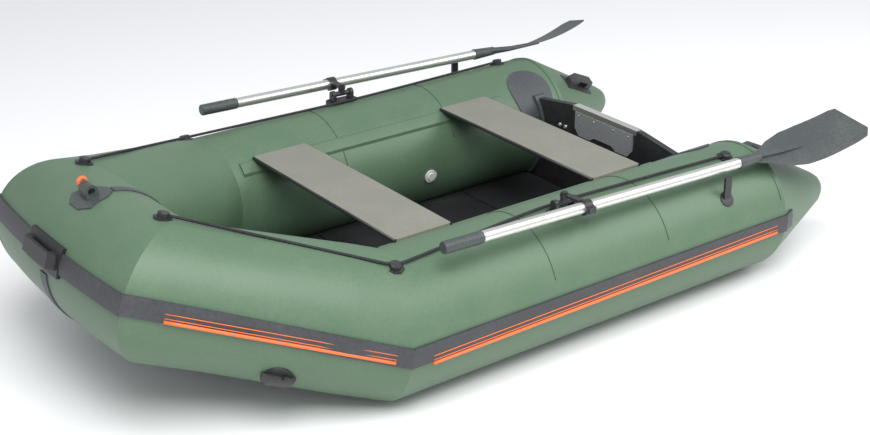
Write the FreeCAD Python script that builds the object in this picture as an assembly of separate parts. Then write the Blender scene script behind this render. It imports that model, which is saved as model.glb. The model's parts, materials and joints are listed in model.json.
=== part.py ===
import FreeCAD, Part
import math
import os

# Frame: +X points to the bow, +Y to port, +Z up. The floor is z = 0. Lengths in mm, angles in degrees.
V = FreeCAD.Vector
X_AXIS = V(1, 0, 0)
Y_AXIS = V(0, 1, 0)
Z_AXIS = V(0, 0, 1)

# ---- buoyancy tubes
tube_r = 215.0
bow_tube_r = 204.0
tube_y = 545.0
side_tube_length = 1465.0
knee_to_corner = 585.0
bow_half_width = 275.0
bow_lift_angle = 16.8
bow_end_angle = 6.0
cone_length = 340.0
cone_tip_r = 62.0
cone_tip_y = 556.0
cone_tip_z = 186.0
cone_cap_length = 34.0
cone_cap_r = 40.0

# ---- bottom, floor and transom
sheet_z = 30.0
sheet_t = 4.0
floor_board_t = 10.0
floor_board_count = 4
floor_board_gap = 5.0
floor_board_half_width = 398.0
floor_length = 1270.0
keel_tape_half_width = 20.0
keel_tape_t = 4.0
transom_from_knee = 1347.0
transom_t = 24.0
transom_top_z = 380.0
transom_flat_half = 165.0
transom_end_y = 384.0
transom_end_z = 348.0
cap_wall = 2.5
cap_drop = 16.0
motor_plate_t = 5.0
motor_plate_half_width = 150.0
motor_plate_depth = 88.0
holder_t = 4.0
holder_flange = 16.0

# ---- seats
seat_width = 205.0
seat_half_length = 408.0
seat_t = 12.0
seat_top_z = 393.0
front_seat_from_knee = 248.0
rear_seat_from_knee = 1026.0
rail_t = 7.0
rail_start = 88.0
rail_end = 1190.0
rail_inner_y = 372.0

# ---- rub strake
strake_t = 8.0
strake_h = 58.0
strake_side_up = 2.0
strake_knee_up = -12.0
strake_bow_up = 12.0
strake_past_seam = 48.0

# ---- grab rope and its eyelets
rope_r = 4.5
rope_height = 9.5
rope_hole_clear = 0.5
eyelet_pad_r = 28.0
eyelet_pad_t = 3.5
eyelet_cap_r = 18.0
eyelet_cap_h = 18.0
mid_eyelet_angle = 17.0
stern_eyelet_from_knee = 1333.0
stern_eyelet_angle = 12.5

# ---- oarlocks and oars
oarlock_from_knee = 628.0
oarlock_y = 602.0
barrel_z = 456.0
oar_pitch = 1.7
barrel_r = 9.0
journal_r = 7.0
journal_clear = 0.06
lug_in = 30.0
lug_t = 13.0
lug_r = 14.0
base_length = 124.0
base_width = 56.0
base_top = 24.0
boss_r = 12.0
boss_top = 18.6
pin_r = 5.0
pin_clear = 0.06
pin_head_r = 10.0
arm_bottom = 19.0
arm_t = 8.0
arm_half_width = 9.0
arm_length = 84.0
oar_rise = 10.0
shaft_r = 17.5
clamp_r = 24.0
clamp_half_width = 13.0
grip_r = 19.0
grip_outer_x = 520.0
grip_length = 138.0
shaft_aft_x = 664.0
blade_socket_r = 20.5
blade_socket_length = 120.0
blade_length = 430.0
blade_root_half = 28.0
blade_half_width = 82.0
blade_t = 5.0
blade_bend_r = 1000.0
blade_dip_angle = 8.0
blade_roll = 23.0
blade_tip_overhang = 0.8

# ---- small fittings
clip_from_knee = 1222.0
stern_handle_from_knee = 1633.0
stern_handle_angle = 35.0
stern_handle_length = 150.0
tow_ring_along = 300.0
tow_ring_angle = 132.0
valve_from_knee = 823.0
valve_angle = 100.0
valve_r = 24.0
tow_eye_angle = 61.0
tow_eye_bore_r = 11.0
tow_eye_r = 19.0
tow_eye_length = 46.0
tow_eye_pad_half_width = 62.0
bow_handle_half_width = 92.0
bow_handle_standoff = 34.0

# ---- derived positions
lift = math.radians(bow_lift_angle)
bow_arc_r = bow_half_width / math.sin(math.radians(bow_end_angle))
nose_a = knee_to_corner + bow_arc_r * (1 - math.cos(math.radians(bow_end_angle)))
handle_half_height = 22.0
handle_low = handle_half_height - strake_bow_up
nose_reach = (nose_a + bow_tube_r + bow_handle_standoff) * math.cos(lift) + handle_low * math.sin(lift)
stern_reach = side_tube_length + cone_length + cone_cap_length
blade_reach = oarlock_from_knee + shaft_aft_x + blade_socket_length + blade_length + blade_tip_overhang
knee_x = (max(stern_reach, blade_reach) - nose_reach) / 2.0
seam_x = knee_x - side_tube_length
knee = V(knee_x, tube_y, tube_r)


def polygon_prism(points, direction):
    """Return the solid swept by a flat polygon along a direction."""
    outline = Part.makePolygon(points + [points[0]])
    return Part.Face(outline).extrude(direction)


def cylinder(radius, start, direction, length):
    """Return a cylinder that starts at a point and runs along a direction."""
    return Part.makeCylinder(radius, length, start, direction)


def box(low, high):
    """Return a box between two corners."""
    return Part.makeBox(high.x - low.x, high.y - low.y, high.z - low.z, low)


def half_space(point, normal):
    """Return a large block on the side of a plane that its normal points to."""
    size = 4000.0
    block = Part.makeBox(size, size, size, V(-size / 2, -size / 2, 0))
    block.Placement = FreeCAD.Placement(point, FreeCAD.Rotation(Z_AXIS, normal))
    return block


def mirrored(shape):
    """Return the starboard twin of a port shape."""
    return shape.mirror(V(0, 0, 0), Y_AXIS)


def both_sides(port_shape):
    """Return (side name, shape) for port and starboard."""
    return (("port", port_shape), ("starboard", mirrored(port_shape)))


def save(name, shape):
    """Write one named piece."""
    shape.exportStep("parts/" + name + ".step")


# The bow frame lies in the plane of the lifted bow tubes: a runs forward, b to port, c up.
bow_turn = FreeCAD.Rotation(Y_AXIS, -bow_lift_angle)
bow_place = FreeCAD.Placement(V(knee_x, 0, tube_r), bow_turn)


def bow_point(a, b, c):
    """Return the world position of a point given in the bow frame."""
    return bow_place.multVec(V(a, b, c))


def from_bow(shape):
    """Move a shape drawn in the bow frame to the world frame."""
    moved = shape.copy()
    moved.Placement = bow_place.multiply(moved.Placement)
    return moved


# ---- mitre planes where the tubes meet
corner_flat = V(knee_to_corner, bow_half_width, 0)
knee_flat = V(0, tube_y, 0)
front_dir_flat = (corner_flat - knee_flat).normalize()
front_length = (corner_flat - knee_flat).Length
bow_dir_flat = V(math.sin(math.radians(bow_end_angle)), -math.cos(math.radians(bow_end_angle)), 0)
corner_normal_flat = (front_dir_flat + bow_dir_flat).normalize()
front_dir = bow_turn.multVec(front_dir_flat)
knee_normal = (X_AXIS + front_dir).normalize()
knee_normal_flat = bow_turn.inverted().multVec(knee_normal)
tube_end_straight = 135.0


def front_solid(grow):
    """Return the uncut front tube in the bow frame, grown outward by a thickness."""
    profile = [
        V(0, 0, -200),
        V(tube_r + grow, 0, -200),
        V(tube_r + grow, 0, tube_end_straight),
        V(bow_tube_r + grow, 0, front_length - tube_end_straight),
        V(bow_tube_r + grow, 0, front_length + 200),
        V(0, 0, front_length + 200),
    ]
    outline = Part.makePolygon(profile + [profile[0]])
    turned = Part.Face(outline).revolve(V(0, 0, 0), Z_AXIS, 360)
    turned.Placement = FreeCAD.Placement(knee_flat, FreeCAD.Rotation(Z_AXIS, front_dir_flat))
    return turned


def bow_solid(grow):
    """Return the uncut bow tube in the bow frame, grown outward by a thickness."""
    spread = bow_end_angle + 5.0
    centre = V(nose_a - bow_arc_r, 0, 0)
    start_angle = math.radians(-spread)
    start = centre + V(math.cos(start_angle), math.sin(start_angle), 0) * bow_arc_r
    tangent = V(-math.sin(start_angle), math.cos(start_angle), 0)
    ring = Part.Wire(Part.makeCircle(bow_tube_r + grow, start, tangent))
    return Part.Face(ring).revolve(centre, Z_AXIS, 2 * spread)


def side_solid(grow):
    """Return the uncut port side tube, grown outward by a thickness."""
    return cylinder(tube_r + grow, V(seam_x, tube_y, tube_r), X_AXIS, side_tube_length + 200)


def cone_solid(grow):
    """Return the port stern cone, grown outward by a thickness."""
    big = Part.Wire(Part.makeCircle(tube_r + grow, V(seam_x, tube_y, tube_r), X_AXIS))
    tip = V(seam_x - cone_length, cone_tip_y, cone_tip_z)
    small = Part.Wire(Part.makeCircle(cone_tip_r + grow, tip, X_AXIS))
    return Part.makeLoft([big, small], True, True)


front_cut = half_space(corner_flat, corner_normal_flat)
bow_cut = half_space(corner_flat, corner_normal_flat * -1)
knee_cut_flat = half_space(knee_flat, knee_normal_flat * -1)
knee_cut_side = half_space(knee, knee_normal)

front_core_flat = front_solid(0)
bow_core_flat = bow_solid(0)
front_tube_flat = front_core_flat.cut(front_cut).cut(knee_cut_flat)
bow_tube_flat = bow_core_flat.cut(bow_cut).cut(mirrored(bow_cut))
side_tube = side_solid(0).cut(knee_cut_side)
cone = cone_solid(0)
cone_tip = V(seam_x - cone_length, cone_tip_y, cone_tip_z)
cone_cap = Part.makeCone(cone_tip_r, cone_cap_r, cone_cap_length, cone_tip, X_AXIS * -1)
cap_edge = [e for e in cone_cap.Edges if e.BoundBox.XMax < cone_tip.x - cone_cap_length + 1]
cone_cap = cone_cap.makeFillet(cone_cap_length * 0.5, cap_edge[:1])
stern_cone = cone.fuse(cone_cap)

port_front_tube = from_bow(front_tube_flat)
bow_tube = from_bow(bow_tube_flat)
hull_tubes = [
    bow_tube,
    port_front_tube,
    mirrored(port_front_tube),
    side_tube,
    mirrored(side_tube),
    stern_cone,
    mirrored(stern_cone),
]

os.makedirs("parts", exist_ok=True)
save("bow_tube", bow_tube)
for side, shape in both_sides(side_tube):
    save(side + "_side_tube", shape)
for side, shape in both_sides(stern_cone):
    save(side + "_stern_cone", shape)

# ---- bottom sheet, flat aft of the fold and rising with the bow forward of it
transom_inner_x = knee_x - transom_from_knee
transom_outer_x = transom_inner_x - transom_t
bow_sheet_c = -(bow_tube_r - 24.0)
fold_run = (sheet_z - bow_point(0, 0, bow_sheet_c).z) / math.tan(lift)
fold = V(bow_point(0, 0, bow_sheet_c).x + fold_run, 0, sheet_z)
rise = V(math.cos(lift), 0, math.sin(lift))
sheet_up = V(-math.sin(lift), 0, math.cos(lift))
fold_top = fold + V(-sheet_t * math.tan(lift / 2), 0, sheet_t)
sheet_front = fold + rise * (nose_a - 20.0)
sheet_side = [
    V(transom_outer_x - 6.0, -tube_y, sheet_z),
    V(fold.x, -tube_y, fold.z),
    V(sheet_front.x, -tube_y, sheet_front.z),
    V(sheet_front.x, -tube_y, sheet_front.z) + sheet_up * sheet_t,
    V(fold_top.x, -tube_y, fold_top.z),
    V(transom_outer_x - 6.0, -tube_y, sheet_z + sheet_t),
]
sheet_block = polygon_prism(sheet_side, V(0, 2 * tube_y, 0))
corner_world = bow_point(knee_to_corner, bow_half_width, 0)
plan = [
    V(transom_outer_x - 10.0, -tube_y, 0),
    V(knee_x, -tube_y, 0),
    V(corner_world.x, -bow_half_width, 0),
    V(corner_world.x, bow_half_width, 0),
    V(knee_x, tube_y, 0),
    V(transom_outer_x - 10.0, tube_y, 0),
]
plan_block = polygon_prism(plan, V(0, 0, 600))
bottom_sheet = sheet_block.common(plan_block).cut(hull_tubes)
save("bottom_sheet", bottom_sheet)

# ---- floor boards lie across the sheet
board_length = (floor_length - floor_board_gap * (floor_board_count - 1)) / floor_board_count
board_z = sheet_z + sheet_t
boards = []
for index in range(floor_board_count):
    back_x = transom_inner_x + 12.0 + index * (board_length + floor_board_gap)
    boards.append(
        box(
            V(back_x, -floor_board_half_width, board_z),
            V(back_x + board_length, floor_board_half_width, board_z + floor_board_t),
        )
    )
floor_boards = Part.makeCompound(boards)
save("floor_boards", floor_boards)

# ---- keel tape, wrapped round the nose from below the bow handle and run aft under the sheet
tape_low = -keel_tape_half_width
tape_wide = V(0, 2 * keel_tape_half_width, 0)
tape_ring = bow_solid(keel_tape_t)
tape_sweep = []
for step in range(0, 9):
    turn = math.radians(-14.0 - step * 12.5)
    reach = 330.0
    tape_sweep.append(V(nose_a + reach * math.cos(turn), tape_low, reach * math.sin(turn)))
tape_wedge = polygon_prism([V(nose_a, tape_low, 0)] + tape_sweep, tape_wide)
keel_wrap = from_bow(tape_ring.common(tape_wedge).cut(bow_core_flat))
keel_run_side = [
    V(transom_outer_x, tape_low, sheet_z - keel_tape_t),
    V(fold.x, tape_low, sheet_z - keel_tape_t),
    sheet_front + sheet_up * -keel_tape_t + V(0, tape_low, 0),
    sheet_front + V(0, tape_low, 0),
    V(fold.x, tape_low, sheet_z),
    V(transom_outer_x, tape_low, sheet_z),
]
keel_run = polygon_prism(keel_run_side, tape_wide).cut(bow_tube).cut(bottom_sheet)
keel_tape = keel_wrap.fuse(keel_run).removeSplitter()
save("keel_tape", keel_tape)

# ---- transom between the stern ends of the side tubes
transom_outline = [
    V(transom_outer_x, -tube_y, board_z),
    V(transom_outer_x, -tube_y, transom_end_z - 10.0),
    V(transom_outer_x, -transom_end_y, transom_end_z),
    V(transom_outer_x, -transom_flat_half - 12.0, transom_top_z),
    V(transom_outer_x, transom_flat_half + 12.0, transom_top_z),
    V(transom_outer_x, transom_end_y, transom_end_z),
    V(transom_outer_x, tube_y, transom_end_z - 10.0),
    V(transom_outer_x, tube_y, board_z),
]
transom = polygon_prism(transom_outline, V(transom_t, 0, 0)).cut(hull_tubes)
save("transom", transom)

cap_outer = box(
    V(transom_outer_x - cap_wall, -transom_flat_half, transom_top_z - cap_drop),
    V(transom_inner_x + cap_wall, transom_flat_half, transom_top_z + cap_wall),
)
transom_cap = cap_outer.cut(transom)
save("transom_cap", transom_cap)

plate_top = transom_top_z - cap_drop - 1.0
plate_low = plate_top - motor_plate_depth
plate_w = motor_plate_half_width
plate_outline = [
    V(transom_inner_x, -plate_w, plate_top),
    V(transom_inner_x, -plate_w, plate_low + 26.0),
    V(transom_inner_x, -plate_w + 22.0, plate_low),
    V(transom_inner_x, -plate_w * 0.45, plate_low),
    V(transom_inner_x, -plate_w * 0.30, plate_low + 14.0),
    V(transom_inner_x, plate_w * 0.30, plate_low + 14.0),
    V(transom_inner_x, plate_w * 0.45, plate_low),
    V(transom_inner_x, plate_w - 22.0, plate_low),
    V(transom_inner_x, plate_w, plate_low + 26.0),
    V(transom_inner_x, plate_w, plate_top),
]
motor_plate = polygon_prism(plate_outline, V(motor_plate_t, 0, 0))
save("motor_plate", motor_plate)

# ---- transom holders: a pear-shaped pad on the tube with a flange on each face of the transom
transom_mid_x = (transom_outer_x + transom_inner_x) / 2.0
pad_prism = Part.makeCylinder(88.0, 260.0, V(transom_mid_x + 22.0, transom_end_y + 12.0, 210.0), Z_AXIS)
pad_shell = side_solid(holder_t).cut(side_solid(0))
holder_pad = pad_shell.common(pad_prism).common(
    box(V(-3000, 0, transom_end_z - 62.0), V(3000, 2000, 800))
)
flange_shell = side_solid(holder_flange).cut(side_solid(0))
flange_box = box(
    V(transom_outer_x - 14.0, 300.0, board_z + 16.0),
    V(transom_inner_x + 14.0, tube_y - 60.0, transom_end_z + 12.0),
)
holder = flange_shell.common(flange_box).fuse(holder_pad).cut(transom)
port_holder = holder.removeSplitter()
for side, shape in both_sides(port_holder):
    save(side + "_transom_holder", shape)

# ---- seats on rails along the inner shoulders of the side tubes
seat_low_z = seat_top_z - seat_t


def seat(from_knee):
    """Return a seat board with rounded corners."""
    centre_x = knee_x - from_knee
    board = box(
        V(centre_x - seat_width / 2, -seat_half_length, seat_low_z),
        V(centre_x + seat_width / 2, seat_half_length, seat_top_z),
    )
    upright = [e for e in board.Edges if e.BoundBox.ZLength > seat_t - 0.1]
    return board.makeFillet(9.0, upright)


save("front_seat", seat(front_seat_from_knee))
save("rear_seat", seat(rear_seat_from_knee))
rail_shell = side_solid(rail_t).cut(side_solid(0))
rail_box = box(
    V(knee_x - rail_end, rail_inner_y, tube_r),
    V(knee_x - rail_start, seat_half_length + 14.0, seat_low_z),
)
port_rail = rail_shell.common(rail_box)
for side, shape in both_sides(port_rail):
    save(side + "_seat_rail", shape)

# ---- rub strake round the outside at mid height
half_band = strake_h / 2.0
side_band = side_solid(strake_t).cut(side_solid(0)).cut(knee_cut_side)
side_band = side_band.common(
    box(
        V(seam_x, tube_y + 20.0, tube_r + strake_side_up - half_band),
        V(knee_x + 400.0, 2000.0, tube_r + strake_side_up + half_band),
    )
)
cone_band = cone_solid(strake_t).cut(cone_solid(0)).common(
    box(
        V(seam_x - strake_past_seam, tube_y + 20.0, tube_r + strake_side_up - half_band),
        V(seam_x, 2000.0, tube_r + strake_side_up + half_band),
    )
)
band_out = V(-front_dir_flat.y, front_dir_flat.x, 0)
band_start = knee_flat - front_dir_flat * 180.0
band_end = knee_flat + front_dir_flat * (front_length + 180.0)
band_slope = (strake_bow_up - strake_knee_up) / front_length
start_up = strake_knee_up - 180.0 * band_slope
end_up = strake_bow_up + 180.0 * band_slope
front_slab = polygon_prism(
    [
        band_start + band_out * 20.0 + V(0, 0, start_up - half_band),
        band_end + band_out * 20.0 + V(0, 0, end_up - half_band),
        band_end + band_out * 20.0 + V(0, 0, end_up + half_band),
        band_start + band_out * 20.0 + V(0, 0, start_up + half_band),
    ],
    band_out * 400.0,
)
front_band = front_solid(strake_t).cut(front_core_flat).common(front_slab)
front_band = from_bow(front_band.cut(front_cut).cut(knee_cut_flat))
bow_slab = box(
    V(nose_a - 60.0, -1500.0, strake_bow_up - half_band),
    V(nose_a + 600.0, 1500.0, strake_bow_up + half_band),
)
bow_band = bow_solid(strake_t).cut(bow_core_flat).common(bow_slab)
bow_band = from_bow(bow_band.cut(bow_cut).cut(mirrored(bow_cut)))
port_band = side_band.fuse([cone_band, front_band])
rub_strake = bow_band.fuse([port_band, mirrored(port_band)]).removeSplitter()
save("rub_strake", rub_strake)


def surface_frame(origin, normal, along):
    """Return the placement with z on the outward normal and x along the tube."""
    x_dir = (along - normal * along.dot(normal)).normalize()
    y_dir = normal.cross(x_dir)
    matrix = FreeCAD.Matrix(
        x_dir.x, y_dir.x, normal.x, origin.x,
        x_dir.y, y_dir.y, normal.y, origin.y,
        x_dir.z, y_dir.z, normal.z, origin.z,
        0, 0, 0, 1,
    )
    return FreeCAD.Placement(matrix)


def placed(shape, frame):
    """Return a copy of a shape moved into a frame."""
    moved = shape.copy()
    moved.Placement = frame.multiply(moved.Placement)
    return moved


def side_frame(from_knee, angle, along=X_AXIS):
    """Return the surface frame on the port side tube; the angle is from the crown, outboard positive."""
    turn = math.radians(angle)
    normal = V(0, math.sin(turn), math.cos(turn))
    origin = V(knee_x - from_knee, tube_y, tube_r) + normal * tube_r
    return surface_frame(origin, normal, along)


def octagon(radius, low, high):
    """Return an upright octagonal prism."""
    points = []
    for index in range(8):
        turn = math.radians(22.5 + 45.0 * index)
        points.append(V(radius * math.cos(turn), radius * math.sin(turn), low))
    return polygon_prism(points, V(0, 0, high - low))


# ---- rope eyelets: an octagonal foot and a faceted cap that the rope runs through
def eyelet_blank():
    """Return the eyelet before the tube and the rope hole are cut from it."""
    foot = octagon(eyelet_pad_r, -12.0, eyelet_pad_t)
    cap = octagon(eyelet_cap_r, 0.0, eyelet_cap_h)
    top_edges = [e for e in cap.Edges if e.BoundBox.ZMin > eyelet_cap_h - 0.1]
    return foot.fuse(cap.makeChamfer(2.5, top_edges))


bow_eyelet_flat = corner_flat + corner_normal_flat * 34.0


def rope_points():
    """Return the bends of the port grab rope, laid over the tube crowns."""
    bow_end = bow_place.multVec(bow_eyelet_flat + V(0, 0, bow_tube_r + rope_height))
    turn = math.radians(mid_eyelet_angle)
    lie = tube_r + rope_height
    mid = knee + V(0, math.sin(turn), math.cos(turn)) * lie
    turn = math.radians(stern_eyelet_angle)
    stern_flat = V(-stern_eyelet_from_knee, math.sin(turn) * lie, math.cos(turn) * lie)
    stern = knee + stern_flat
    lock_y = 20.0
    lock_z = math.sqrt(lie ** 2 - lock_y ** 2)
    lock_front = knee + V(-oarlock_from_knee + 90.0, lock_y, lock_z)
    lock_back = knee + V(-oarlock_from_knee - 90.0, lock_y - 0.8, lock_z)
    to_bow = (bow_end - mid).normalize()
    to_stern = (lock_front - mid).normalize()
    mid_front = mid + to_bow * 22.0
    mid_back = mid + to_stern * 22.0
    return [bow_end, mid_front, mid_back, lock_front, lock_back, stern]


def rounded_wire(points):
    """Return one wire of straight runs joined by tangent arcs, and print each bend's radius."""
    edges = []
    last = points[0]
    for index in range(1, len(points) - 1):
        before = points[index] - points[index - 1]
        after = points[index + 1] - points[index]
        turn = before.getAngle(after)
        tangent = 0.45 * min(before.Length, after.Length)
        radius = tangent / math.tan(turn / 2)
        print("rope bend", index, "radius", round(radius, 1))
        start = points[index] - before.normalize() * tangent
        end = points[index] + after.normalize() * tangent
        middle_dir = ((start + end) * 0.5 - points[index]).normalize()
        middle = points[index] + middle_dir * (radius / math.cos(turn / 2) - radius)
        edges.append(Part.LineSegment(last, start).toShape())
        edges.append(Part.Arc(start, middle, end).toShape())
        last = end
    edges.append(Part.LineSegment(last, points[-1]).toShape())
    return Part.Wire(edges)


rope_bends = rope_points()
rope_wire = rounded_wire(rope_bends)
print("rope length", round(rope_wire.Length, 1))
rope_start_dir = (rope_bends[1] - rope_bends[0]).normalize()


def rope_solid(radius):
    """Return the port grab rope, or the clear hole round it, as a tube along its route."""
    ring = Part.Wire(Part.makeCircle(radius, rope_bends[0], rope_start_dir))
    return rope_wire.makePipeShell([ring], True, True)


port_rope = rope_solid(rope_r)
rope_hole = rope_solid(rope_r + rope_hole_clear)
for side, shape in both_sides(port_rope):
    save(side + "_grab_rope", shape)
# The taut rope presses a groove into the soft front tube.
for side, shape in both_sides(port_front_tube.cut(rope_hole)):
    save(side + "_front_tube", shape)

bow_eyelet_normal = bow_turn.multVec(Z_AXIS)
bow_eyelet_frame = surface_frame(
    bow_place.multVec(bow_eyelet_flat + V(0, 0, bow_tube_r)), bow_eyelet_normal, front_dir
)
knee_along = (X_AXIS + front_dir).normalize()
eyelet_frames = [
    bow_eyelet_frame,
    side_frame(0.0, mid_eyelet_angle, knee_along),
    side_frame(stern_eyelet_from_knee, stern_eyelet_angle),
]
eyelets = []
for frame in eyelet_frames:
    blank = placed(eyelet_blank(), frame)
    for tube in (from_bow(bow_core_flat), port_front_tube, side_tube):
        blank = blank.cut(tube)
    outside = max(blank.Solids, key=lambda solid: solid.BoundBox.ZMax)
    eyelets.append(outside.cut(rope_hole))
port_eyelets = Part.makeCompound(eyelets)
for side, shape in both_sides(port_eyelets):
    save(side + "_rope_eyelets", shape)

# ---- oarlock base: an oval plate on the tube with two lugs that carry the barrel
oar_turn = FreeCAD.Rotation(Y_AXIS, -oar_pitch)
oar_place = FreeCAD.Placement(V(knee_x - oarlock_from_knee, oarlock_y, barrel_z), oar_turn)


def from_oar(shape):
    """Move a shape drawn in the oarlock frame to the world frame."""
    return placed(shape, oar_place)


def lug(inner_x, outer_x):
    """Return one lug with a bore for the barrel's journal."""
    thick = outer_x - inner_x
    eye = cylinder(lug_r, V(inner_x, 0, 0), X_AXIS, thick)
    leg = box(V(inner_x, -lug_r, -base_top - 14.0), V(outer_x, lug_r, 0))
    bore = cylinder(journal_r + journal_clear, V(inner_x - 1, 0, 0), X_AXIS, thick + 2)
    return eye.fuse(leg).cut(bore).removeSplitter()


plate_half = base_length / 2 - base_width / 2
plate_mid = box(V(-plate_half, -base_width / 2, -62.0), V(plate_half, base_width / 2, -base_top))
plate_ends = [
    cylinder(base_width / 2, V(end, 0, -62.0), Z_AXIS, 62.0 - base_top) for end in (-plate_half, plate_half)
]
base_plate = plate_mid.fuse(plate_ends)
base_lugs = [lug(lug_in, lug_in + lug_t), lug(-lug_in - lug_t, -lug_in)]
oarlock_base = from_oar(base_plate.fuse(base_lugs)).cut(side_tube)
oarlock_base = oarlock_base.removeSplitter()
for side, shape in both_sides(oarlock_base):
    save(side + "_oarlock_base", shape)

# ---- barrel: it tilts in the lugs and carries the upright swing pin
barrel_half = lug_in - 0.4
barrel = cylinder(barrel_r, V(-barrel_half, 0, 0), X_AXIS, 2 * barrel_half)
journals = cylinder(journal_r, V(-lug_in - lug_t - 2, 0, 0), X_AXIS, 2 * (lug_in + lug_t + 2))
boss = cylinder(boss_r, V(0, 0, 0), Z_AXIS, boss_top)
pin = cylinder(pin_r, V(0, 0, 0), Z_AXIS, arm_bottom + arm_t + 6.0)
pin_head = octagon(pin_head_r, arm_bottom + arm_t + 0.4, arm_bottom + arm_t + 6.4)
barrel_solid = barrel.fuse([journals, boss, pin, pin_head]).removeSplitter()
for side, shape in both_sides(from_oar(barrel_solid)):
    save(side + "_oarlock_barrel", shape)

# ---- clamp: an arm turns on the pin and grips the shaft in a split ring
clamp_x = -11.0
ring_centre = V(clamp_x, arm_length, oar_rise)
ring_outer = cylinder(
    clamp_r, ring_centre - X_AXIS * clamp_half_width, X_AXIS, 2 * clamp_half_width
)
ring_bore = cylinder(
    shaft_r, ring_centre - X_AXIS * (clamp_half_width + 1), X_AXIS, 2 * clamp_half_width + 2
)
arm_eye = cylinder(14.0, V(0, 0, arm_bottom), Z_AXIS, arm_t)
arm_points = [
    V(-arm_half_width - 4.0, 0, arm_bottom),
    V(arm_half_width, 0, arm_bottom),
    V(clamp_x + clamp_half_width - 2.0, arm_length - 6.0, arm_bottom),
    V(clamp_x - clamp_half_width + 2.0, arm_length - 6.0, arm_bottom),
]
arm = polygon_prism(arm_points, V(0, 0, arm_t))
clamp_ear = box(
    V(clamp_x - clamp_half_width, arm_length + 20.0, oar_rise - 9.0),
    V(clamp_x + clamp_half_width, arm_length + 34.0, oar_rise + 9.0),
)
pin_hole = cylinder(pin_r + pin_clear, V(0, 0, arm_bottom - 1), Z_AXIS, arm_t + 2)
clamp_solid = ring_outer.fuse([arm, arm_eye, clamp_ear]).cut(ring_bore).cut(pin_hole).removeSplitter()
for side, shape in both_sides(from_oar(clamp_solid)):
    save(side + "_oar_clamp", shape)

# ---- oar: grip, shaft and blade on one axis
shaft_front_x = grip_outer_x - grip_length
shaft_axis = V(0, arm_length, oar_rise)
shaft = cylinder(
    shaft_r, shaft_axis - X_AXIS * shaft_aft_x, X_AXIS, shaft_front_x + shaft_aft_x
)
for side, shape in both_sides(from_oar(shaft)):
    save(side + "_oar_shaft", shape)
grip = cylinder(grip_r, shaft_axis + X_AXIS * shaft_front_x, X_AXIS, grip_length)
grip = grip.makeFillet(4.0, [e for e in grip.Edges if e.Length < 130 and e.BoundBox.XLength < 0.1])
for side, shape in both_sides(from_oar(grip)):
    save(side + "_oar_grip", shape)

# The blade is drawn with u along the oar towards the tip, v across it and w square to its face.
total = blade_socket_length + blade_length


def blade_outline():
    """Return the blade's flat outline, wider and slanted at the tip."""
    start = blade_socket_length * 0.45
    end = total
    half = blade_half_width
    rows = [
        (start, 14.0),
        (start + 60.0, blade_root_half),
        (start + 130.0, half * 0.72),
        (start + 210.0, half * 0.96),
        (start + 290.0, half),
        (end - 60.0, half * 0.97),
    ]
    upper = [V(u, v, 0) for u, v in rows]
    lower = [V(u, -v, 0) for u, v in rows]
    tip = [V(end - 34.0, half * 0.9, 0), V(end, -half * 0.62, 0), V(end - 22.0, -half * 0.93, 0)]
    return upper + tip + lower[::-1]


def smooth_prism(points, low, high):
    """Return a prism on a closed outline."""
    return polygon_prism([V(p.x, p.y, low) for p in points], V(0, 0, high - low))


dip = math.radians(blade_dip_angle)
bend_start = blade_socket_length * 0.5
bend_centre = V(
    bend_start + blade_bend_r * math.sin(dip), 0, blade_bend_r * math.cos(dip)
)
bend_outer = cylinder(blade_bend_r, bend_centre + V(0, -200, 0), Y_AXIS, 400)
bend_inner = cylinder(blade_bend_r - blade_t, bend_centre + V(0, -201, 0), Y_AXIS, 402)
blade_sheet = bend_outer.cut(bend_inner).common(smooth_prism(blade_outline(), -70.0, 160.0))
socket = Part.makeCone(blade_socket_r, blade_socket_r - 5.0, blade_socket_length * 0.8, V(0, 0, 0), X_AXIS)
spine_points = [
    V(blade_socket_length * 0.5, 0, -13.0),
    V(blade_socket_length * 0.5, 0, 15.0),
    V(blade_socket_length + 60.0, 0, 4.0),
    V(blade_socket_length + 200.0, 0, 2.0),
    V(blade_socket_length + 200.0, 0, -10.0),
    V(blade_socket_length + 60.0, 0, -14.0),
]
spine = polygon_prism([p + V(0, -9.0, 0) for p in spine_points], V(0, 18.0, 0))
blade_flat = socket.fuse([blade_sheet, spine]).removeSplitter()
blade_turn = FreeCAD.Rotation(Z_AXIS, 180).multiply(FreeCAD.Rotation(X_AXIS, blade_roll))
blade_frame = FreeCAD.Placement(shaft_axis - X_AXIS * shaft_aft_x, blade_turn)
blade = placed(blade_flat, blade_frame)
for side, shape in both_sides(from_oar(blade)):
    save(side + "_oar_blade", shape)

# ---- stowage clip: a round foot with an upright hook outboard of the shaft
clip_x = knee_x - clip_from_knee
clip_y = oarlock_y + arm_length + shaft_r + 6.0
clip_top = 424.0
clip_post = box(V(clip_x - 14.0, clip_y, 300.0), V(clip_x + 14.0, clip_y + 8.0, clip_top))
clip_angle = math.degrees(math.asin((clip_y + 4.0 - tube_y) / tube_r))
clip_frame = side_frame(clip_from_knee, clip_angle)
clip_foot = placed(Part.makeCylinder(25.0, 26.0, V(0, 0, -22.0)), clip_frame)
clip_foot = clip_foot.common(side_solid(4.0))
oar_clip = clip_foot.fuse(clip_post).cut(side_solid(0)).removeSplitter()
for side, shape in both_sides(oar_clip):
    save(side + "_oar_clip", shape)

# ---- air valves on the inner walls
valve_frame = side_frame(valve_from_knee, -valve_angle)
valve_flange = Part.makeCylinder(valve_r, 12.0, V(0, 0, -7.0))
valve_cap = Part.makeCylinder(valve_r * 0.62, 9.0, V(0, 0, 0))
air_valve = placed(valve_flange.fuse(valve_cap), valve_frame).cut(side_tube).removeSplitter()
for side, shape in both_sides(air_valve):
    save(side + "_air_valve", shape)


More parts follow.
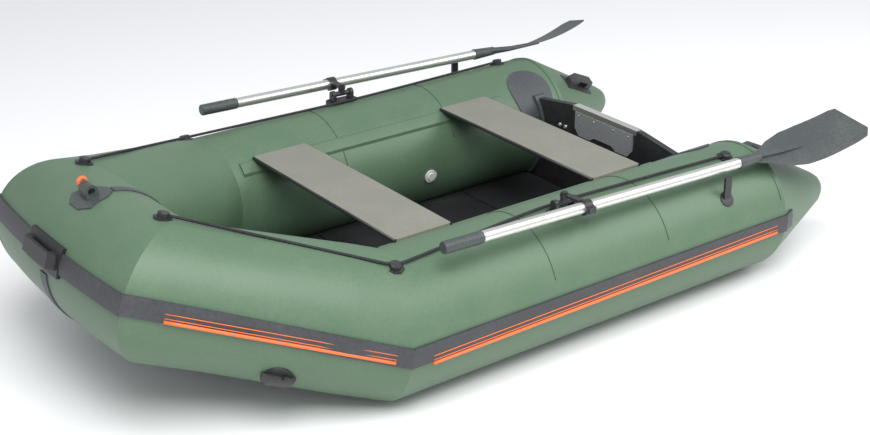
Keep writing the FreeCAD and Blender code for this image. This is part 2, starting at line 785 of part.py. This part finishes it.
def strap_handle(length, width, standoff, thick):
    """Return a moulded handle with a foot at each end and a bar standing off between them."""
    half = length / 2.0
    outer = polygon_prism(
        [
            V(-half, -width / 2, -12.0),
            V(-half, -width / 2, standoff * 0.45),
            V(-half + 16.0, -width / 2, standoff),
            V(half - 16.0, -width / 2, standoff),
            V(half, -width / 2, standoff * 0.45),
            V(half, -width / 2, -12.0),
        ],
        V(0, width, 0),
    )
    window = box(
        V(-half + 34.0, -width, -30.0),
        V(half - 34.0, width, standoff - thick),
    )
    return outer.cut(window)


# ---- stern carry handles on the cones
cone_fraction = (stern_handle_from_knee - side_tube_length) / cone_length
cone_mid_r = tube_r + (cone_tip_r - tube_r) * cone_fraction
cone_mid = V(
    knee_x - stern_handle_from_knee,
    tube_y + (cone_tip_y - tube_y) * cone_fraction,
    tube_r + (cone_tip_z - tube_r) * cone_fraction,
)
handle_turn = math.radians(stern_handle_angle)
handle_out = V(0, -math.sin(handle_turn), math.cos(handle_turn))
seam_point = V(seam_x, tube_y, tube_r) + handle_out * tube_r
tip_point = cone_tip + handle_out * cone_tip_r
ruling = (seam_point - tip_point).normalize()
handle_normal = (handle_out - ruling * handle_out.dot(ruling)).normalize()
stern_handle_frame = surface_frame(cone_mid + handle_out * cone_mid_r, handle_normal, ruling)
stern_pad = placed(box(V(-92.0, -32.0, -40.0), V(92.0, 32.0, 30.0)), stern_handle_frame)
stern_pad = stern_pad.common(cone_solid(3.5)).cut(cone)
stern_grip = placed(strap_handle(stern_handle_length, 30.0, 40.0, 12.0), stern_handle_frame)
stern_handle = stern_grip.fuse(stern_pad).cut(cone).removeSplitter()
for side, shape in both_sides(stern_handle):
    save(side + "_stern_handle", shape)

# ---- bow carry handle on a pad over the strake
handle_axes = surface_frame(V(nose_a + bow_tube_r, 0, strake_bow_up), X_AXIS, Y_AXIS)
bow_pad_shell = bow_solid(strake_t + 3.0).cut(bow_core_flat)
bow_pad = bow_pad_shell.common(
    box(
        V(nose_a, -bow_handle_half_width - 10.0, strake_bow_up - 44.0),
        V(nose_a + 400.0, bow_handle_half_width + 10.0, strake_bow_up + 44.0),
    )
)
bow_grip = placed(
    strap_handle(2 * bow_handle_half_width, 2 * handle_half_height, bow_handle_standoff, 13.0),
    handle_axes,
)
strake_flat = bow_solid(strake_t).common(bow_slab)
bow_handle_flat = bow_grip.fuse(bow_pad).cut(bow_core_flat).cut(strake_flat)
bow_handle = from_bow(bow_handle_flat.removeSplitter())
save("bow_handle", bow_handle)

# ---- tow eye on the bow crown: a pad, a raised cross tube and its rope loop
eye_turn = math.radians(tow_eye_angle)
eye_normal = V(math.cos(eye_turn), 0, math.sin(eye_turn))
eye_along = V(math.sin(eye_turn), 0, -math.cos(eye_turn))
eye_frame = surface_frame(V(nose_a, 0, 0) + eye_normal * bow_tube_r, eye_normal, eye_along)
pad_outline = [
    V(56.0, -26.0, -60.0),
    V(56.0, 26.0, -60.0),
    V(30.0, tow_eye_pad_half_width, -60.0),
    V(-34.0, 44.0, -60.0),
    V(-62.0, 16.0, -60.0),
    V(-62.0, -16.0, -60.0),
    V(-34.0, -44.0, -60.0),
    V(30.0, -tow_eye_pad_half_width, -60.0),
]
eye_pad = placed(polygon_prism(pad_outline, V(0, 0, 100.0)), eye_frame)
eye_pad = eye_pad.common(bow_solid(5.0))
eye_height = tow_eye_r + 5.0
eye_tube = cylinder(tow_eye_r, V(0, -tow_eye_length / 2, eye_height), Y_AXIS, tow_eye_length)
eye_foot = box(
    V(-tow_eye_r, -tow_eye_length / 2, -14.0), V(tow_eye_r, tow_eye_length / 2, eye_height)
)
eye_bore = cylinder(
    tow_eye_bore_r, V(0, -tow_eye_length, eye_height), Y_AXIS, 2 * tow_eye_length
)
eye_body = placed(eye_tube.fuse(eye_foot).cut(eye_bore), eye_frame)
tow_eye_flat = eye_body.fuse(eye_pad).cut(bow_core_flat)
save("tow_eye", from_bow(tow_eye_flat.removeSplitter()))
loop_rope_r = 6.0
loop_centre = V(0, -tow_eye_length / 2 - loop_rope_r - 0.4, eye_height + 15.0)
knot = Part.makeTorus(11.0, loop_rope_r, loop_centre, Y_AXIS)
save("tow_loop", from_bow(placed(knot, eye_frame)))

# ---- centreline tape over the bow crown
tape_sector = []
for step in range(0, 7):
    turn = math.radians(tow_eye_angle + 19.0 + step * 12.0)
    tape_sector.append(V(nose_a + 330.0 * math.cos(turn), -15.0, 330.0 * math.sin(turn)))
bow_tape_wedge = polygon_prism([V(nose_a, -15.0, 0)] + tape_sector, V(0, 30.0, 0))
bow_tape = bow_solid(4.0).cut(bow_core_flat).common(bow_tape_wedge)
bow_tape = from_bow(bow_tape.cut(tow_eye_flat))
save("bow_tape", bow_tape)

# ---- lower tow rings under the front tubes
ring_turn = math.radians(tow_ring_angle)
ring_normal_flat = band_out * math.sin(ring_turn) + V(0, 0, 1) * math.cos(ring_turn)
ring_radius = tube_r + (bow_tube_r - tube_r) * (
    (tow_ring_along - tube_end_straight) / (front_length - 2 * tube_end_straight)
)
ring_origin = knee_flat + front_dir_flat * tow_ring_along + ring_normal_flat * ring_radius
ring_frame = surface_frame(ring_origin, ring_normal_flat, front_dir_flat)
ring_pad = placed(Part.makeCylinder(44.0, 90.0, V(0, 0, -45.0)), ring_frame).common(front_solid(4.0))
ring_grip = placed(strap_handle(96.0, 24.0, 26.0, 9.0), ring_frame)
tow_ring_flat = ring_grip.fuse(ring_pad).cut(front_core_flat)
for side, shape in both_sides(from_bow(tow_ring_flat.removeSplitter())):
    save(side + "_tow_ring", shape)
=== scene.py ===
"""Looks of an inflatable boat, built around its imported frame. Metres; +X bow, +Y port, +Z up."""

import json
import logging
import math
from dataclasses import dataclass
from enum import Enum
from typing import Dict, List, Sequence, Tuple

import bpy
from mathutils import Matrix, Vector

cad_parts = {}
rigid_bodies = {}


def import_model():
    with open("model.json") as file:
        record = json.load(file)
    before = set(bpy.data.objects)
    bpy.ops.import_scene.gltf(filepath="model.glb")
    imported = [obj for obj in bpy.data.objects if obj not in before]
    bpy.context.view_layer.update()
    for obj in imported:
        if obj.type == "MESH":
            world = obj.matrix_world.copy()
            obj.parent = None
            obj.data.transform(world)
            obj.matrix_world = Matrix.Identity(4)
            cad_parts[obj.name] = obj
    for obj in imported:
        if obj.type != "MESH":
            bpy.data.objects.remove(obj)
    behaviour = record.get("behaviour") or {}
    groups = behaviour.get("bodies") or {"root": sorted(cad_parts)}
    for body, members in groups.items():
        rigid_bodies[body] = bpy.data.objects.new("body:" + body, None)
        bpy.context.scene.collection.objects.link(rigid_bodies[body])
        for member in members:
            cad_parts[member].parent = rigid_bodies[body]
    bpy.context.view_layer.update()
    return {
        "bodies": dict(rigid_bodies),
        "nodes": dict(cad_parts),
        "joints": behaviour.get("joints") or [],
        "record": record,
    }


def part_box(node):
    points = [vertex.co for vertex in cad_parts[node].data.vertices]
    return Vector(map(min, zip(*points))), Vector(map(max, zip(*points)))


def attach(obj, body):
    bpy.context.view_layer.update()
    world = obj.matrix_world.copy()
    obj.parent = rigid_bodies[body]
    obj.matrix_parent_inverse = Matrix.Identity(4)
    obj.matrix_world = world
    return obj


LOG = logging.getLogger("boat")
Point = Tuple[float, float, float]
Outline = Tuple[Tuple[float, float], ...]
KNEE_X = 0.51912
TUBE_R = 0.215
TUBE_Y = 0.545
LIFT = math.radians(16.8)
OAR_PITCH = math.radians(1.7)
CORNER_X = 0.585
CORNER_Y = 0.275
STRAKE_PROUD = 0.0082


class Pattern(Enum):
    """Relief that a finish carries."""

    WEAVE = "weave"
    GRAIN = "grain"
    CELLS = "cells"
    TWIST = "twist"
    BRUSHED = "brushed"


@dataclass(frozen=True)
class Finish:
    """One surface finish.

    Attributes: colour and worn are linear colours; scale is the relief's frequency per metre."""

    name: str
    colour: Point
    worn: Point
    roughness: float
    pattern: Pattern
    scale: float
    relief: float
    metallic: float = 0.0
    coat: float = 0.0

    def build(self, shared: "SharedNodes") -> bpy.types.Material:
        """Make the material. Args: shared, the node groups. Returns: the material."""
        material = bpy.data.materials.new(self.name)
        material.use_nodes = True
        tree = material.node_tree
        surface = tree.nodes["Principled BSDF"]
        wear = tree.nodes.new("ShaderNodeGroup")
        wear.node_tree = shared.wear
        wear.inputs["Colour"].default_value = (*self.colour, 1.0)
        wear.inputs["Worn"].default_value = (*self.worn, 1.0)
        wear.inputs["Roughness"].default_value = self.roughness
        relief = tree.nodes.new("ShaderNodeGroup")
        relief.node_tree = shared.relief[self.pattern]
        relief.inputs["Scale"].default_value = self.scale
        relief.inputs["Relief"].default_value = self.relief
        tree.links.new(wear.outputs["Colour"], surface.inputs["Base Color"])
        tree.links.new(wear.outputs["Roughness"], surface.inputs["Roughness"])
        tree.links.new(relief.outputs["Normal"], surface.inputs["Normal"])
        surface.inputs["Metallic"].default_value = self.metallic
        surface.inputs["Coat Weight"].default_value = self.coat
        return material


class SharedNodes:
    """Node groups for wear and relief, used by all finishes."""

    def __init__(self) -> None:
        """Build the groups."""
        self.wear = self._wear()
        self.relief: Dict[Pattern, bpy.types.ShaderNodeTree] = {p: self._relief(p) for p in Pattern}

    @staticmethod
    def _group(name: str, inputs: Sequence[Tuple[str, str]], outputs: Sequence[Tuple[str, str]]):
        """Start a group. Args: its name and sockets. Returns: tree, input node, output node."""
        tree = bpy.data.node_groups.new(name, "ShaderNodeTree")
        for label, kind in inputs:
            tree.interface.new_socket(label, in_out="INPUT", socket_type=kind)
        for label, kind in outputs:
            tree.interface.new_socket(label, in_out="OUTPUT", socket_type=kind)
        return tree, tree.nodes.new("NodeGroupInput"), tree.nodes.new("NodeGroupOutput")

    def _wear(self) -> bpy.types.ShaderNodeTree:
        """Colour that varies with cloudy dirt and fine scuffs. Returns: the group."""
        tree, given, out = self._group(
            "surface_wear",
            [("Colour", "NodeSocketColor"), ("Worn", "NodeSocketColor"), ("Roughness", "NodeSocketFloat")],
            [("Colour", "NodeSocketColor"), ("Roughness", "NodeSocketFloat")],
        )
        place = tree.nodes.new("ShaderNodeTexCoord")
        cloud = tree.nodes.new("ShaderNodeTexNoise")
        cloud.inputs["Scale"].default_value = 7.0
        cloud.inputs["Detail"].default_value = 6.0
        scuff = tree.nodes.new("ShaderNodeTexNoise")
        scuff.inputs["Scale"].default_value = 90.0
        scuff.inputs["Detail"].default_value = 3.0
        both = tree.nodes.new("ShaderNodeMath")
        both.operation = "MULTIPLY"
        mask = tree.nodes.new("ShaderNodeMapRange")
        mask.inputs["From Min"].default_value = 0.18
        mask.inputs["From Max"].default_value = 0.42
        mask.inputs["To Max"].default_value = 0.55
        mix = tree.nodes.new("ShaderNodeMix")
        mix.data_type = "RGBA"
        rough = tree.nodes.new("ShaderNodeMath")
        rough.operation = "MULTIPLY_ADD"
        rough.inputs[1].default_value = 0.15
        for texture in (cloud, scuff):
            tree.links.new(place.outputs["Object"], texture.inputs["Vector"])
        tree.links.new(cloud.outputs["Fac"], both.inputs[0])
        tree.links.new(scuff.outputs["Fac"], both.inputs[1])
        tree.links.new(both.outputs[0], mask.inputs["Value"])
        tree.links.new(mask.outputs["Result"], mix.inputs["Factor"])
        tree.links.new(given.outputs["Colour"], mix.inputs["A"])
        tree.links.new(given.outputs["Worn"], mix.inputs["B"])
        tree.links.new(mask.outputs["Result"], rough.inputs[0])
        tree.links.new(given.outputs["Roughness"], rough.inputs[2])
        tree.links.new(mix.outputs["Result"], out.inputs["Colour"])
        tree.links.new(rough.outputs[0], out.inputs["Roughness"])
        return tree

    def _relief(self, pattern: Pattern) -> bpy.types.ShaderNodeTree:
        """A bumped normal. Args: pattern. Returns: the group."""
        tree, given, out = self._group(
            "relief_" + pattern.value,
            [("Scale", "NodeSocketFloat"), ("Relief", "NodeSocketFloat")],
            [("Normal", "NodeSocketVector")],
        )
        place = tree.nodes.new("ShaderNodeTexCoord")
        kinds = {
            Pattern.WEAVE: "ShaderNodeTexVoronoi",
            Pattern.GRAIN: "ShaderNodeTexNoise",
            Pattern.CELLS: "ShaderNodeTexVoronoi",
            Pattern.TWIST: "ShaderNodeTexWave",
            Pattern.BRUSHED: "ShaderNodeTexWave",
        }
        texture = tree.nodes.new(kinds[pattern])
        if pattern is Pattern.CELLS:
            texture.feature = "DISTANCE_TO_EDGE"
        if pattern is Pattern.TWIST:
            texture.bands_direction = "DIAGONAL"
        bump = tree.nodes.new("ShaderNodeBump")
        bump.inputs["Distance"].default_value = 0.001
        height = "Distance" if "Voronoi" in kinds[pattern] else "Fac"
        tree.links.new(place.outputs["Object"], texture.inputs["Vector"])
        tree.links.new(given.outputs["Scale"], texture.inputs["Scale"])
        tree.links.new(texture.outputs[height], bump.inputs["Height"])
        tree.links.new(given.outputs["Relief"], bump.inputs["Strength"])
        tree.links.new(bump.outputs["Normal"], out.inputs["Normal"])
        return tree


FINISHES = (
    Finish("green_pvc", (0.085, 0.15, 0.088), (0.115, 0.18, 0.115), 0.42, Pattern.WEAVE, 420.0, 0.12),
    Finish("seam_green", (0.055, 0.1, 0.058), (0.08, 0.13, 0.08), 0.5, Pattern.GRAIN, 300.0, 0.2),
    Finish("grey_pvc", (0.055, 0.062, 0.068), (0.1, 0.105, 0.11), 0.5, Pattern.WEAVE, 420.0, 0.15),
    Finish("strake_rubber", (0.04, 0.042, 0.046), (0.08, 0.08, 0.085), 0.48, Pattern.GRAIN, 260.0, 0.25),
    Finish("orange_line", (0.8, 0.16, 0.035), (0.6, 0.15, 0.06), 0.4, Pattern.GRAIN, 300.0, 0.1),
    Finish("black_board", (0.016, 0.016, 0.018), (0.05, 0.05, 0.05), 0.45, Pattern.CELLS, 140.0, 0.4),
    Finish("seat_board", (0.2, 0.2, 0.165), (0.26, 0.25, 0.21), 0.5, Pattern.GRAIN, 220.0, 0.15),
    Finish("black_rope", (0.013, 0.013, 0.015), (0.05, 0.05, 0.052), 0.75, Pattern.TWIST, 90.0, 0.9),
    Finish("orange_rope", (0.8, 0.17, 0.05), (0.55, 0.14, 0.07), 0.75, Pattern.TWIST, 90.0, 0.9),
    Finish("pale_aluminium", (0.74, 0.74, 0.7), (0.6, 0.6, 0.57), 0.32, Pattern.BRUSHED, 60.0, 0.12, 0.9),
    Finish("grey_plastic", (0.05, 0.06, 0.06), (0.1, 0.11, 0.105), 0.45, Pattern.GRAIN, 320.0, 0.2),
    Finish("plate_cells", (0.22, 0.23, 0.24), (0.3, 0.3, 0.3), 0.5, Pattern.CELLS, 75.0, 1.0),
    Finish("white_plastic", (0.78, 0.78, 0.76), (0.6, 0.6, 0.57), 0.3, Pattern.GRAIN, 300.0, 0.05, 0.0, 0.2),
    Finish("black_plastic", (0.018, 0.018, 0.02), (0.05, 0.05, 0.052), 0.4, Pattern.GRAIN, 320.0, 0.2),
)


class Piece:
    """A mesh under construction."""

    def __init__(self, name: str) -> None:
        """Args: name of the piece."""
        self.name = name
        self.points: List[Vector] = []
        self.faces: List[Sequence[int]] = []

    def sweep(self, path: Sequence[Vector], radius: float, sides: int = 8) -> None:
        """Add a round bead. Args: path, its radius and its sides."""
        count, start = len(path), len(self.points)
        for i, spot in enumerate(path):
            ahead = path[i + 1] if i + 1 < count else spot
            behind = path[i - 1] if i else spot
            along = (ahead - behind).normalized()
            across = along.cross(Vector((0, 0, 1)) if abs(along.z) < 0.9 else Vector((1, 0, 0))).normalized()
            up = across.cross(along)
            for k in range(sides):
                turn = math.tau * k / sides
                self.points.append(spot + (across * math.cos(turn) + up * math.sin(turn)) * radius)
        for i in range(count - 1):
            a, b = start + i * sides, start + (i + 1) * sides
            for k in range(sides):
                n = (k + 1) % sides
                self.faces.append((a + k, a + n, b + n, b + k))
        self.faces.append(tuple(start + k for k in reversed(range(sides))))
        self.faces.append(tuple(start + (count - 1) * sides + k for k in range(sides)))

    def turned(self, spot: Vector, axis: Vector, outline: Outline, sides: int = 24) -> None:
        """Add a turned form. Args: its base, its axis, (radius, height) pairs and its sides."""
        spin = axis.normalized().to_track_quat("Z", "Y").to_matrix()
        start = len(self.points)
        for radius, height in outline:
            for k in range(sides):
                turn = math.tau * k / sides
                local = Vector((radius * math.cos(turn), radius * math.sin(turn), height))
                self.points.append(spot + spin @ local)
        for i in range(len(outline) - 1):
            a, b = start + i * sides, start + (i + 1) * sides
            for k in range(sides):
                n = (k + 1) % sides
                self.faces.append((a + k, a + n, b + n, b + k))
        self.faces.append(tuple(start + k for k in reversed(range(sides))))
        self.faces.append(tuple(start + (len(outline) - 1) * sides + k for k in range(sides)))

    def slab(self, low: Point, high: Point, edge: float = 0.0008) -> None:
        """Add a box with chamfered upright edges. Args: its corners and the chamfer."""
        (x0, y0, z0), (x1, y1, z1) = low, high
        e = min(edge, (x1 - x0) / 3, (y1 - y0) / 3)
        near_side = [(x0 + e, y0), (x1 - e, y0), (x1, y0 + e), (x1, y1 - e)]
        far_side = [(x1 - e, y1), (x0 + e, y1), (x0, y1 - e), (x0, y0 + e)]
        ring = near_side + far_side
        start = len(self.points)
        self.points += [Vector((x, y, z)) for z in (z0, z1) for x, y in ring]
        for k in range(8):
            n = (k + 1) % 8
            self.faces.append((start + k, start + n, start + 8 + n, start + 8 + k))
        self.faces += [tuple(start + k for k in reversed(range(8))), tuple(start + 8 + k for k in range(8))]

    def place(self, material: bpy.types.Material, body: str, slot: str) -> bpy.types.Object:
        """Finish the piece. Args: its material, its body, and slot, which is not used. Returns: the object."""
        mesh = bpy.data.meshes.new(self.name)
        mesh.from_pydata([tuple(p) for p in self.points], [], [tuple(f) for f in self.faces])
        mesh.materials.append(material)
        for polygon in mesh.polygons:
            polygon.use_smooth = len(polygon.vertices) == 4
        thing = bpy.data.objects.new(self.name, mesh)
        bpy.context.scene.collection.objects.link(thing)
        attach(thing, body)
        LOG.info("%s: %d faces", self.name, len(self.faces))
        return thing


@dataclass
class Dresser:
    """What every sub-assembly needs: the frame and the finishes."""

    frame: Dict[str, object]
    finish: Dict[str, bpy.types.Material]

    def coat(self, name: str, *nodes: str) -> None:
        """Give frame nodes a finish. Args: the finish's name, then the nodes."""
        for node in nodes:
            mesh = self.frame["nodes"][node].data
            mesh.materials.clear()
            mesh.materials.append(self.finish[name])

    def both(self, name: str, *parts: str) -> None:
        """Give a finish to port and starboard twins. Args: the finish's name, then the parts."""
        for part in parts:
            self.coat(name, "port_" + part, "starboard_" + part)


@dataclass
class Hull(Dresser):
    """Air tubes, cones, seams and the rub strake's lines."""

    seam_r: float = 0.0016
    rib_r: float = 0.0052
    line_r: float = 0.0014
    stations: Tuple[float, ...] = (0.04, -0.42, -0.93)

    @staticmethod
    def strake_path(side: int, up: float, proud: float) -> List[Vector]:
        """A line along the strake. Args: side, height above its middle, and how proud. Returns: points."""
        path = []
        for i in range(25):
            share = i / 24
            height = (0.002 - 0.014 * share + up) / TUBE_R
            x = KNEE_X - 1.417 + 1.40 * share
            reach = (TUBE_R + proud) * math.sqrt(1 - height * height)
            path.append(Vector((x, side * (TUBE_Y + reach), TUBE_R + height * (TUBE_R + proud))))
        return path

    @staticmethod
    def bow_strake_path(side: int, up: float, proud: float) -> List[Vector]:
        """The same line on the lifted bow. Args: side, height, and how proud. Returns: points."""
        path = []
        slope = Vector((CORNER_X, side * (CORNER_Y - TUBE_Y), 0)).normalized()
        outward = Vector((-slope.y * side, slope.x * side, 0))
        for i in range(13):
            share = i / 12
            middle = Vector((CORNER_X * share, side * (TUBE_Y + (CORNER_Y - TUBE_Y) * share), 0))
            radius = TUBE_R - 0.011 * share
            height = -0.012 + 0.018 * share + up
            reach = (radius + proud) * math.sqrt(1 - (height / radius) ** 2)
            local = middle + outward * reach + Vector((0, 0, height))
            path.append(
                Vector(
                    (
                        KNEE_X + local.x * math.cos(LIFT) - local.z * math.sin(LIFT),
                        local.y,
                        TUBE_R + local.x * math.sin(LIFT) + local.z * math.cos(LIFT),
                    )
                )
            )
        return path

    def build(self) -> None:
        """Coat the tubes, then add seams and lines."""
        self.both("green_pvc", "front_tube", "side_tube", "stern_cone", "seat_rail")
        self.coat("green_pvc", "bow_tube")
        self.coat("grey_pvc", "bottom_sheet", "keel_tape", "bow_tape")
        self.coat("strake_rubber", "rub_strake")
        seams = Piece("tube_seams")
        for side in (-1, 1):
            for x in self.stations:
                ring = []
                for k in range(49):
                    turn = math.radians(22 + 136 * k / 48)
                    out = TUBE_R + 0.0006
                    across = side * TUBE_Y + out * math.cos(turn)
                    ring.append(Vector((x, across, TUBE_R + out * math.sin(turn))))
                seams.sweep(ring, self.seam_r, sides=6)
        seams.place(self.finish["seam_green"], "hull", "green_pvc")
        for name, up, radius in (
            ("strake_rib", -0.019, self.rib_r),
            ("strake_line_upper", 0.004, self.line_r),
            ("strake_line_lower", -0.009, self.line_r),
        ):
            lines = Piece(name)
            for side in (-1, 1):
                lines.sweep(self.strake_path(side, up, STRAKE_PROUD), radius)
                lines.sweep(self.bow_strake_path(side, up, STRAKE_PROUD), radius)
            lines.place(self.finish["orange_line"], "hull", "strake_rubber")


@dataclass
class Cockpit(Dresser):
    """Floor, seats, transom and its plates."""

    transom_x: float = KNEE_X - 1.347
    plate_t: float = 0.0015
    nut: Outline = ((0.009, 0.0), (0.009, 0.0015), (0.006, 0.0016), (0.006, 0.006))
    screw: Outline = ((0.004, 0.0), (0.004, 0.001), (0.002, 0.0018))
    seat_half: float = 0.406
    seat_edge_z: float = 0.3872
    seat_edge_r: float = 0.0058

    def build(self) -> None:
        """Coat the boards and add the transom's fittings."""
        self.coat("black_board", "floor_boards", "transom")
        self.coat("seat_board", "front_seat", "rear_seat")
        self.coat("pale_aluminium", "transom_cap")
        self.coat("plate_cells", "motor_plate")
        self.both("grey_pvc", "transom_holder")
        x = self.transom_x
        blanks = Piece("blank_plates")
        blanks.slab((x, -0.262, 0.20), (x + self.plate_t, -0.182, 0.216))
        blanks.slab((x, 0.195, 0.19), (x + self.plate_t, 0.255, 0.24))
        blanks.place(self.finish["white_plastic"], "hull", "white_plastic")
        nuts = Piece("transom_nuts")
        for y, z in ((-0.235, 0.285), (-0.235, 0.245), (-0.205, 0.285), (-0.205, 0.245)):
            nuts.turned(Vector((x, y, z)), Vector((1, 0, 0)), self.nut, 6)
        for y in (-0.13, -0.05, 0.05, 0.13):
            nuts.turned(Vector((x + 0.005, y, 0.35)), Vector((1, 0, 0)), self.screw, 12)
        nuts.place(self.finish["pale_aluminium"], "hull", "pale_aluminium")
        trims = Piece("seat_edges")
        for centre in (KNEE_X - 0.248, KNEE_X - 1.026):
            for edge in (-0.1025, 0.1025):
                ends = [Vector((centre + edge, y, self.seat_edge_z)) for y in (-self.seat_half, self.seat_half)]
                trims.sweep(ends, self.seat_edge_r)
        trims.place(self.finish["black_plastic"], "hull", "seat_board")


@dataclass
class Fittings(Dresser):
    """Handles, eyelets, ropes, clips, rings and valves."""

    valve_cap: Outline = ((0.012, 0.0), (0.013, 0.001), (0.013, 0.004), (0.011, 0.0055), (0.004, 0.006))
    valve_angle: float = math.radians(100.0)

    def build(self) -> None:
        """Coat the fittings and add the valve caps."""
        self.both("black_plastic", "rope_eyelets", "oar_clip", "stern_handle", "tow_ring", "oarlock_base")
        self.coat("black_plastic", "bow_handle")
        self.coat("grey_plastic", "tow_eye")
        self.both("black_rope", "grab_rope")
        self.coat("orange_rope", "tow_loop")
        self.both("white_plastic", "air_valve")
        caps = Piece("valve_caps")
        for side in ("port_", "starboard_"):
            low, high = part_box(side + "air_valve")
            outward = 1 if side == "port_" else -1
            lean = self.valve_angle
            axis = Vector((0, outward * math.cos(lean), math.sin(lean)))
            middle = (Vector(low) + Vector(high)) / 2
            hub = Vector((middle.x, outward * TUBE_Y, TUBE_R))
            reach = max((Vector(high) - hub).z, 0.0)
            caps.turned(hub + axis * (reach / math.sin(lean) - 0.0045), axis, self.valve_cap)
        caps.place(self.finish["orange_line"], "hull", "white_plastic")


@dataclass
class Oars(Dresser):
    """Oarlocks, shafts, grips and blades."""

    rib_r: float = 0.0012
    ring_low_r: float = 0.0188
    ring_top_r: float = 0.0197

    def build(self) -> None:
        """Coat the oars and add grip rings that ride with each oar."""
        self.both("black_plastic", "oarlock_barrel", "oar_clamp")
        self.both("pale_aluminium", "oar_shaft")
        self.both("grey_plastic", "oar_grip", "oar_blade")
        along = Vector((math.cos(OAR_PITCH), 0, math.sin(OAR_PITCH)))
        low_half = ((self.ring_low_r, -self.rib_r), (self.ring_top_r, -self.rib_r / 2))
        high_half = ((self.ring_top_r, self.rib_r / 2), (self.ring_low_r, self.rib_r))
        outline = low_half + high_half
        for side in ("port", "starboard"):
            low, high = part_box(side + "_oar_grip")
            middle = (Vector(low) + Vector(high)) / 2
            half = (Vector(high) - Vector(low)).x / 2 / math.cos(OAR_PITCH)
            rings = Piece(side + "_grip_rings")
            for k in range(9):
                spot = middle + along * (half * (-0.75 + 1.5 * k / 8))
                rings.turned(spot, along, outline)
            rings.place(self.finish["grey_plastic"], side + "_oar", "grey_plastic")


@dataclass
class Studio:
    """White floor and background, soft lights, and the camera."""

    lens: float = 64.56
    eye: Point = (2.2525 + KNEE_X, 3.8082, 2.3388)
    yaw: float = 233.22
    dip: float = 24.26
    floor_half: float = 40.0
    floor_z: float = -0.001

    def build(self) -> None:
        """Set up the stage."""
        scene = bpy.context.scene
        scene.view_settings.view_transform = "Standard"
        world = bpy.data.worlds.new("studio")
        world.use_nodes = True
        tree = world.node_tree
        light = tree.nodes["Background"]
        light.inputs["Color"].default_value = (0.93, 0.95, 1.0, 1.0)
        light.inputs["Strength"].default_value = 0.62
        white = tree.nodes.new("ShaderNodeBackground")
        white.inputs["Color"].default_value = (1, 1, 1, 1)
        ray = tree.nodes.new("ShaderNodeLightPath")
        mix = tree.nodes.new("ShaderNodeMixShader")
        tree.links.new(ray.outputs["Is Camera Ray"], mix.inputs["Fac"])
        tree.links.new(light.outputs[0], mix.inputs[1])
        tree.links.new(white.outputs[0], mix.inputs[2])
        tree.links.new(mix.outputs[0], tree.nodes["World Output"].inputs["Surface"])
        scene.world = world
        mesh = bpy.data.meshes.new("floor")
        reach, level = self.floor_half, self.floor_z
        edge = [(-reach, -reach, level), (reach, -reach, level), (reach, reach, level), (-reach, reach, level)]
        mesh.from_pydata(edge, [], [(0, 1, 2, 3)])
        floor = bpy.data.objects.new("floor", mesh)
        paint = bpy.data.materials.new("floor_white")
        paint.use_nodes = True
        paint.node_tree.nodes["Principled BSDF"].inputs["Base Color"].default_value = (0.93, 0.93, 0.93, 1)
        paint.node_tree.nodes["Principled BSDF"].inputs["Roughness"].default_value = 0.9
        mesh.materials.append(paint)
        scene.collection.objects.link(floor)
        lamps = (("key", (1.5, 2.5, 4.5), 260.0, 3.5), ("fill", (-3.5, 3.0, 3.5), 110.0, 3.0))
        for name, place, power, size in lamps:
            lamp = bpy.data.lights.new(name, "AREA")
            lamp.energy, lamp.size = power, size
            holder = bpy.data.objects.new(name, lamp)
            holder.location = place
            holder.rotation_euler = (-Vector(place)).to_track_quat("-Z", "Y").to_euler()
            scene.collection.objects.link(holder)
        camera = bpy.data.objects.new("camera", bpy.data.cameras.new("camera"))
        camera.data.lens, camera.data.sensor_width = self.lens, 36.0
        yaw, dip = math.radians(self.yaw), math.radians(self.dip)
        look = Vector((math.cos(yaw) * math.cos(dip), math.sin(yaw) * math.cos(dip), -math.sin(dip)))
        aim = look.to_track_quat("-Z", "Y").to_matrix().to_4x4()
        camera.matrix_world = Matrix.Translation(self.eye) @ aim
        scene.collection.objects.link(camera)
        scene.camera = camera


def main() -> None:
    """Build every sub-assembly in order."""
    logging.basicConfig(level=logging.INFO)
    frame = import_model()
    shared = SharedNodes()
    finish = {f.name: f.build(shared) for f in FINISHES}
    for part in (Hull, Cockpit, Fittings, Oars):
        part(frame, finish).build()
        LOG.info("%s done", part.__name__)
    Studio().build()


if __name__ == "__main__":
    main()
